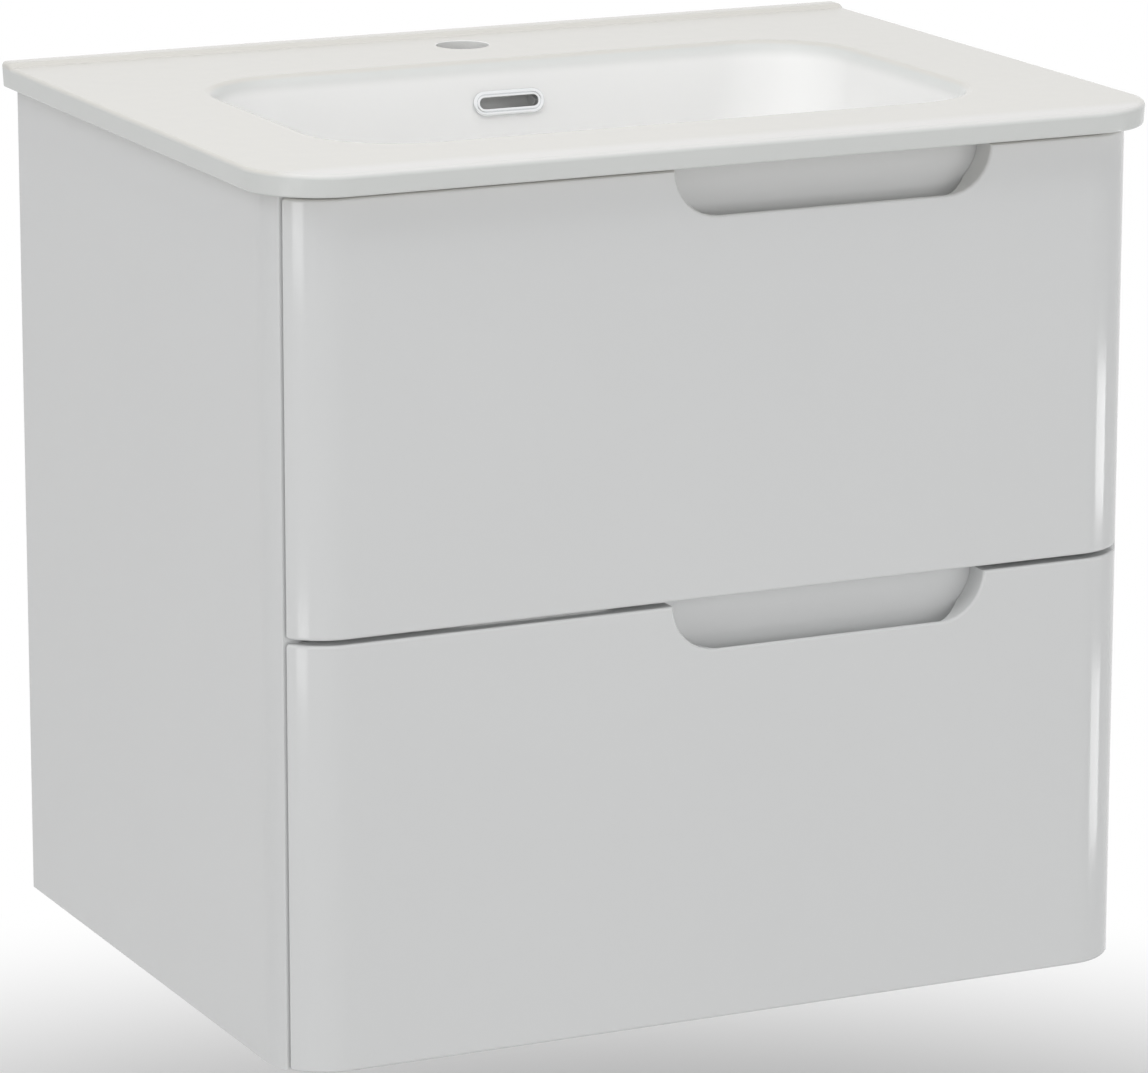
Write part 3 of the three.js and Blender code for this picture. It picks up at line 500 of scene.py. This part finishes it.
PROFILE = bowl_profile()
FLOOR_RUN = BOWL.half_depth - PROFILE[-1][0] - DRAIN.radius
FLOOR = DECK_TOP - PROFILE[-1][1] - FLOOR_RUN * tangent(BOWL.floor_fall)


def drain_ring(radius, z):
    """A round with its points where the bowl's corners have theirs."""
    plan = rounded_plan(-radius, radius, DRAIN.y - radius, DRAIN.y + radius, radius, radius)
    return at_height(plan, z)


def blend_rings(first, last, steps):
    """Rings between two others, the last one included."""
    return [[a.lerp(b, i / steps) for a, b in zip(first, last)] for i in range(1, steps + 1)]


def bowl_hollow(materials):
    """The bowl's inside, as a tool that cuts it out of the slab and the skin."""
    walls = [bowl_ring(step) for step in PROFILE]
    above = at_height(walls[0], DECK_TOP + CUT_ABOVE)
    seat = drain_ring(DRAIN.seat_radius, FLOOR)
    return loft("hollow", [above, *walls, *blend_rings(walls[-1], seat, 6)], materials)


def bowl_skin(materials):
    """The bowl's outside, reaching up into the slab that it hangs from."""
    into_slab = 7
    walls = [bowl_ring(step, BOWL.wall) for step in PROFILE if step[2] < 90 and step[1] > 0]
    top = at_height(walls[0], SLAB_UNDER + into_slab)
    kept = [ring for ring in walls if ring[0].z < SLAB_UNDER]
    seat = drain_ring(DRAIN.boss_radius, FLOOR - BOWL.wall)
    return loft("skin", [top, *kept, *blend_rings(kept[-1], seat, 4)], materials, slot=1)


def back_wall(step):
    """A point on the middle of the bowl's back wall, and the way out of the bowl there."""
    inset, depth, tilt = step
    point = Vector((0, BOWL.middle + BOWL.half_depth - inset, DECK_TOP - depth))
    return point, Vector((0, cosine(tilt), -sine(tilt)))


def overflow_duct(wall, materials, slot):
    """The duct that takes the overflow down the bowl's back wall and under its floor to the drain."""
    middle = BOWL.wall + OVERFLOW.duct_height / 2
    across, out = OVERFLOW.duct_width / 2 + wall, OVERFLOW.duct_height / 2 + wall
    upper_end = OVERFLOW.depth - OVERFLOW.duct_height / 2 - 2 * wall
    lean, rim = BOWL.wall_lean, BOWL.rim_radius
    top_inset = rim * (cosine(lean) - 1) + (upper_end - rim) * tangent(lean)
    steps = [(top_inset, upper_end, lean)]
    steps += [step for step in PROFILE if step[1] > rim and step[2] >= lean]
    places = [back_wall(s) for s in steps]
    point, outward = places[-1]
    run = point.y - (DRAIN.y + DRAIN.radius / 2)
    fall = run * tangent(BOWL.floor_fall)
    places.append((point + Vector((0, -run, -fall)), outward))
    corners = [(-across, -out), (across, -out), (across, out), (-across, out)]
    return loft("duct", [
        [Vector((x, 0, 0)) + p + o * (middle + y) for x, y in corners] for p, o in places
    ], materials, slot=slot)


def overflow_place():
    """Puts a piece drawn flat, x across and y up, on the bowl's back wall at the overflow."""
    lean, rim = BOWL.wall_lean, BOWL.rim_radius
    inset = (OVERFLOW.depth - rim) * tangent(lean) + rim * (cosine(lean) - 1)
    inset += rim * sine(lean) * tangent(lean)
    point, outward = back_wall((inset, OVERFLOW.depth, lean))
    across, into = Vector((1, 0, 0)), -outward
    axes = Matrix((across, into.cross(across), into)).transposed().to_4x4()
    return Matrix.Translation(point) @ axes


ON_OVERFLOW = overflow_place()


def on_overflow(outline, out):
    """A flat outline laid on the bowl's back wall, this far out of it."""
    return [ON_OVERFLOW @ p for p in at_height(outline, out)]


def tap_hole_tool(materials):
    """The tap hole's cutter, flared at the top where the glaze pools into a small round."""
    def ring(inset, z):
        return at_height(circle((0, -TAP.from_wall), TAP.radius + inset, ROUND_SIDES), z)

    flare = quarter_round(TAP.glaze_radius, 5)
    return loft("tap_hole", [
        ring(TAP.glaze_radius, DECK_TOP + CUT_ABOVE),
        *[ring(inset, DECK_TOP - along) for inset, along in flare],
        ring(0, SLAB_UNDER - CUT_BELOW),
    # slot 2: the hole's wall takes the glaze painted whiter, a painted brightness in the hole
    ], materials, slot=2)


def build_basin():
    """Slab, skin, duct and boss joined into one shell, then hollowed and drilled."""
    materials = (CHINA, BISQUE, PAINTED_LIGHT_GLAZE)
    # slot 2 is the glaze painted whiter, a painted brightness for the tap hole's wall and the duct's inside
    bare, painted_light_slot = 1, 2
    shell = basin_slab(materials)
    for face in shell.data.polygons:
        if face.normal.z < -0.9:          # the slab's underside is never glazed
            face.material_index = bare
    boss_end = basin_low.z
    combine(shell, [
        bowl_skin(materials),
        overflow_duct(OVERFLOW.duct_wall, materials, bare),
        post("boss", DRAIN.boss_radius, DRAIN.y, boss_end, FLOOR - BOWL.wall / 2, materials, bare),
    ], "UNION")
    slot = slot_outline(OVERFLOW.straight, OVERFLOW.radius + OVERFLOW.sleeve + FIT)
    combine(shell, [
        bowl_hollow(materials),
        overflow_duct(0, materials, painted_light_slot),
        loft("slot", [on_overflow(slot, -OVERFLOW.wall_passage), on_overflow(slot, BOWL.wall)], materials),
        post("waste", DRAIN.radius, DRAIN.y, boss_end - CUT_BELOW, DECK_TOP, materials),
        post("seat", DRAIN.seat_radius, DRAIN.y, FLOOR - DRAIN.seat_depth, FLOOR + CUT_ABOVE, materials),
        tap_hole_tool(materials),
    ])
    place(shell, "cabinet", ["basin"])


def build_overflow_trim():
    """A sleeve with a grooved flange, swept round the slot."""
    bore, edge = OVERFLOW.radius, OVERFLOW.radius + OVERFLOW.flange
    face, groove = FIT + OVERFLOW.flange_thickness, OVERFLOW.radius + OVERFLOW.groove
    rim, bevel, deep = OVERFLOW.flange_round, OVERFLOW.bore_bevel, OVERFLOW.groove_depth
    section = [
        (bore, -OVERFLOW.sleeve_length), (bore + OVERFLOW.sleeve, -OVERFLOW.sleeve_length),
        (bore + OVERFLOW.sleeve, FIT), (edge, FIT),
        *[(p.x, p.y) for p in arc((edge - rim, face - rim), rim, 0, 90, 8)],
        (groove + deep, face), (groove, face - deep), (groove - deep, face),
        *[(p.x, p.y) for p in arc((bore + bevel, face - bevel), bevel, 90, 180, 4)],
    ]
    rings = [on_overflow(slot_outline(OVERFLOW.straight, radius, 24), out) for radius, out in section]
    place(loft("overflow_trim", rings, (CHROME,), endless=True), "cabinet", ["overflow_ring"], angle=40)


# ---------------------------------------------------------------- carried-over pieces

def refine(name, material, edge, segments=2):
    """Eases a CAD node's edges by modifiers alone, edge millimetres wide, and gives it its material."""
    node = frame["nodes"][name]
    mesh = node.data
    mesh.materials.clear()
    mesh.materials.append(material)
    mesh.polygons.foreach_set("use_smooth", [True] * len(mesh.polygons))
    node.modifiers.new("weld", "WELD").merge_threshold = 0.01 * MM
    ease = node.modifiers.new("ease", "BEVEL")
    ease.width, ease.segments, ease.limit_method = edge * MM, segments, "ANGLE"
    ease.angle_limit = math.radians(CREASE)
    node.modifiers.new("even shading", "WEIGHTED_NORMAL")


for side in ("left", "right"):
    refine(f"side_panel_{side}", LACQUER, 0.4)
    refine(f"hanger_{side}", PLASTIC, 0.5)
    refine(f"hanger_hook_{side}", ZINC, 0.4)
    refine(f"lower_gallery_rod_{side}", POWDER, 0.3)
    for tier in ("upper", "lower"):
        refine(f"{tier}_side_{side}", POWDER, 0.3)
        refine(f"{tier}_front_bracket_{side}", ZINC, 0.3)
        for member in ("cabinet", "middle", "drawer"):
            refine(f"{tier}_{member}_rail_{side}", ZINC, 0.2, 1)
for tier in ("upper", "lower"):
    refine(f"{tier}_front", LACQUER, 0.4)
    refine(f"{tier}_grip_backing", LACQUER, 0.4)
for board in ("bottom_panel", "top_front_rail", "hanging_rail", "lower_rear_rail", "upper_bottom",
              "upper_back_left", "upper_back_right", "lower_bottom", "lower_back"):
    refine(board, MELAMINE, 0.5)
refine("upper_trap_shroud", PLASTIC, 0.5)


# ---------------------------------------------------------------- small hardware

# Turned profiles as (radius, height over the seat), from the shank up.
COUNTERSUNK_HEAD = [(3.5, -1), (3.5, -0.02), (3.3, 0.12), (2.6, 0.22)]
PAN_HEAD = [(4, -0.5), (4, 0.6), (3.6, 1.3), (2.6, 1.8), (1.6, 1.9)]
CAM_FACE = [(7.5, -1), (7.5, 0.2), (7.2, 0.4), (5.4, 0.4), (5.1, 0.2)]
SOFT_DOT = [(4, 0), (3.8, 0.4), (3.2, 0.75), (2.2, 0.95), (1, 1)]


def turned(name, profile, sides, material):
    """A solid turned about z, with its seat at nought."""
    rings = [at_height(circle((0, 0), radius, sides), along) for radius, along in profile]
    return loft(name, rings, (material,))


def cross_outline(arm, half_width):
    """The plan of a cross-head driver's tip."""
    quarter = [(half_width, half_width), (half_width, arm), (-half_width, arm)]
    turns = [Matrix.Rotation(math.radians(90 * i), 2) for i in range(4)]
    return [turn @ Vector(p) for turn in turns for p in quarter]


def driven_head(name, profile, arm, depth):
    """A turned steel head with a cross recess that narrows towards its foot."""
    blade, foot_arm, foot_blade = 0.22 * arm, 0.55 * arm, 0.16 * arm
    proud = 0.05              # the recess's cutter stands this far over the head
    top = profile[-1][1]
    recess = loft("recess", [
        at_height(cross_outline(foot_arm, foot_blade), top - depth),
        at_height(cross_outline(arm, blade), top + proud),
    ], (ZINC,))
    return combine(turned(name, profile, 40, ZINC), [recess])


def fasten(name, head, body, spots, outwards):
    """Copies one fitting to each spot as a single piece on a body, heads facing outwards."""
    turn = Vector(outwards).to_track_quat("Z", "Y").to_matrix().to_4x4()
    mesh = bmesh.new()
    for spot in spots:
        copy = head.data.copy()
        copy.transform(Matrix.Translation(Vector(spot) * MM) @ turn)
        mesh.from_mesh(copy)
    piece = mesh_object(name, [], [], head.data.materials)
    mesh.to_mesh(piece.data)
    mesh.free()
    place(piece, body)


def fit_cams():
    """The cam fittings that pull the carcass's boards together, on the faces that nobody sees."""
    cam = driven_head("cam", CAM_FACE, arm=3.6, depth=0.9)
    panel = node_box("bottom_panel")
    across = [side * (panel[1].x - FITTINGS.end_inset) for side in (-1, 1)]
    for name in ("hanging_rail", "lower_rear_rail"):
        low, high = node_box(name)
        levels = [low.z + FITTINGS.edge_inset, high.z - FITTINGS.edge_inset]
        fasten(f"{name}_cams", cam, "cabinet", [(x, low.y, z) for x in across for z in levels], (0, -1, 0))
    low, high = node_box("top_front_rail")
    middle = (low.z + high.z) / 2
    fasten("top_front_rail_cams", cam, "cabinet", [(x, high.y, middle) for x in across], (0, 1, 0))
    low, high = panel
    runs = [low.y + FITTINGS.panel_inset, high.y - FITTINGS.panel_inset]
    fasten("bottom_panel_cams", cam, "cabinet", [(x, y, high.z) for x in across for y in runs], (0, 0, 1))
    bpy.data.objects.remove(cam)


def fit_screws_and_bumpers():
    """The hangers' adjusting screws, the runners' screws, and the soft dots behind the fronts."""
    countersunk = driven_head("screw", COUNTERSUNK_HEAD, arm=2.0, depth=0.9)
    pan = driven_head("pan_screw", PAN_HEAD, arm=2.2, depth=1.1)
    dot = turned("dot", SOFT_DOT, 32, BUMPER)
    for side, name in ((-1, "left"), (1, "right")):
        low, high = node_box(f"hanger_{name}")
        centre = (low.x + high.x) / 2
        spots = [(centre, low.y, z) for z in FITTINGS.adjusters]
        fasten(f"hanger_adjusters_{name}", pan, "cabinet", spots, (0, -1, 0))
        for tier in ("upper", "lower"):
            low, high = node_box(f"{tier}_cabinet_rail_{name}")
            face = side * (max(abs(low.x), abs(high.x)) - RUNNER_SHEET)
            spots = [(face, low.y + run, high.z - FITTINGS.hole_drop) for run in FITTINGS.rail_holes]
            fasten(f"{tier}_runner_screws_{name}", countersunk, "cabinet", spots, (-side, 0, 0))
            low, high = node_box(f"{tier}_front")
            levels = [low.z + FITTINGS.bumper_inset, high.z - FITTINGS.bumper_inset]
            spots = [(side * (INSIDE + FITTINGS.bumper_aside), high.y, z) for z in levels]
            fasten(f"{tier}_bumpers_{name}", dot, f"{tier}_drawer", spots, (0, 1, 0))
    for head in (countersunk, pan, dot):
        bpy.data.objects.remove(head)


build_basin()
build_overflow_trim()
fit_cams()
fit_screws_and_bumpers()


# ---------------------------------------------------------------- stage

WHITE = colour("#FFFFFF")


def seen_share(tree):
    """One where a ray comes from the camera, a mirror or a pane: there the surround is plain white."""
    rays = add_node(tree, "LightPath").outputs
    share = rays["Is Camera Ray"]
    for kind in ("Is Glossy Ray", "Is Transmission Ray"):
        share = add_node(tree, "Math", {0: share, 1: rays[kind]}, operation="MAXIMUM").outputs[0]
    return share


def build_floor():
    """A plain pale floor that takes the shadow, and fades to the white background further out."""
    below, reach = 320, 30000
    fade_start, fade_end = 550, 1150
    level = CAD_BOX[0].z / MM - below
    middle = Vector((0, -SLAB.depth / 2))
    material = bpy.data.materials.new("pale_floor")
    material.use_nodes = True
    tree = material.node_tree
    tree.nodes.clear()
    ground = add_node(tree, "BsdfDiffuse", {"Color": colour("#EEEEEE")})
    white = add_node(tree, "Emission", {"Color": WHITE, "Strength": 1.0})
    here = add_node(tree, "NewGeometry").outputs["Position"]
    under = Vector((*middle, level)) * MM
    away = add_node(tree, "VectorMath", {0: here, 1: under}, operation="DISTANCE").outputs["Value"]
    limits = {"Value": away, "From Min": fade_start * MM, "From Max": fade_end * MM}
    fade = add_node(tree, "MapRange", limits, interpolation_type="SMOOTHSTEP").outputs[0]
    share = add_node(tree, "Math", {0: fade, 1: seen_share(tree)}, operation="MULTIPLY").outputs[0]
    mix = add_node(tree, "MixShader", {0: share, 1: ground.outputs[0], 2: white.outputs[0]})
    add_node(tree, "OutputMaterial", {"Surface": mix.outputs[0]})
    outline = circle(middle, reach, 96)
    mesh_object("floor", at_height(outline, level), [tuple(range(len(outline)))], [material])


def build_world():
    """White where it is seen or mirrored, and a softer even light everywhere else."""
    world = bpy.data.worlds.new("studio")
    bpy.context.scene.world = world
    world.use_nodes = True
    tree = world.node_tree
    tree.nodes.clear()
    soft = add_node(tree, "Background", {"Color": WHITE, "Strength": 0.15})
    white = add_node(tree, "Background", {"Color": WHITE, "Strength": 1.0})
    mix = add_node(tree, "MixShader", {0: seen_share(tree), 1: soft.outputs[0], 2: white.outputs[0]})
    add_node(tree, "OutputWorld", {"Surface": mix.outputs[0]})


def softbox(name, position, target, width, height, power):
    """A lamp of this size in metres, aimed at the target and hidden from the camera."""
    lamp = bpy.data.lights.new(name, "AREA")
    lamp.shape, lamp.size, lamp.size_y, lamp.energy = "RECTANGLE", width, height, power
    light = bpy.data.objects.new(name, lamp)
    light.location = position
    light.rotation_euler = (target - position).to_track_quat("-Z", "Y").to_euler()
    light.visible_camera = False
    bpy.context.scene.collection.objects.link(light)
    return light


def direction(azimuth, elevation):
    """From the object towards a lamp: azimuth 0 is straight in front, 90 to the right."""
    turn, rise = math.radians(azimuth), math.radians(elevation)
    return Vector((math.sin(turn) * math.cos(rise), -math.cos(turn) * math.cos(rise), math.sin(rise)))


# Soft lamps round the front and above: name, azimuth, elevation, distance, width and height in metres,
# and the level that a white card facing the lamp would show.
SOFTBOXES = (
    ("left_softbox", -80, 14, 4.0, 3.2, 2.4, 0.17),
    ("left_high_softbox", -75, 45, 4.0, 3.0, 2.0, 0.22),
    ("front_softbox", -20, 15, 4.4, 2.0, 1.6, 0.105),
    ("front_low_softbox", 10, 2, 4.0, 2.4, 1.2, 0.133),
    ("right_softbox", 50, 14, 4.0, 3.2, 2.4, 0.15),
    ("overhead_softbox", 0, 84, 2.6, 2.2, 2.2, 0.52),
)
# Small panels beside the fronts' round corners: name, the corner's x, azimuth, width, lowest and highest
# point in metres, and radiance. They only show as gloss.
GLOSS_STRIPS = (
    ("left_upper_strip", -0.28, -56, 0.38, -0.22, -0.08, 2.7),
    ("left_lower_strip", -0.28, -56, 0.38, -0.55, -0.48, 2.7),
    ("right_upper_strip", 0.268, 62, 0.44, -0.46, -0.33, 5.2),
    ("right_lower_strip", 0.268, 65, 0.44, -0.74, -0.585, 3.8),
)
STRIP_DISTANCE = 1.1


def studio_lights():
    """Lights the object evenly; its gloss shows the white surround, without the lamps on top of it."""
    middle = (CAD_BOX[0] + CAD_BOX[1]) / 2
    for name, azimuth, elevation, distance, width, height, level in SOFTBOXES:
        power = level * math.pi ** 2 * distance ** 2
        lamp = softbox(name, middle + direction(azimuth, elevation) * distance, middle, width, height, power)
        lamp.visible_glossy = False


def gloss_strips():
    """Draws the streaks of gloss down the fronts' round corners."""
    for name, x, azimuth, width, low, high, radiance in GLOSS_STRIPS:
        corner = Vector((x, CORNER_Y * MM, (low + high) / 2))
        position = corner + direction(azimuth, 0) * STRIP_DISTANCE
        power = radiance * math.pi * width * (high - low)
        softbox(name, position, corner, width, high - low, power).visible_diffuse = False


def build_camera():
    """Stands to the left, a little above the deck, with a long lens."""
    position, target = (-1.65866, -3.72806, 0.7092), (-0.02567, -0.23621, -0.22433)
    lens, shift, far = 192.415, (0.02638, -0.00519), 100
    data = bpy.data.cameras.new("camera")
    camera = bpy.data.objects.new("camera", data)
    bpy.context.scene.collection.objects.link(camera)
    bpy.context.scene.camera = camera
    data.lens = lens
    data.shift_x, data.shift_y = shift
    data.clip_end = far
    camera.location = position
    aim = Vector(target) - Vector(position)
    camera.rotation_euler = aim.to_track_quat("-Z", "Y").to_euler()


bpy.context.scene.view_settings.view_transform = "Standard"
build_camera()
build_floor()
build_world()
studio_lights()
gloss_strips()
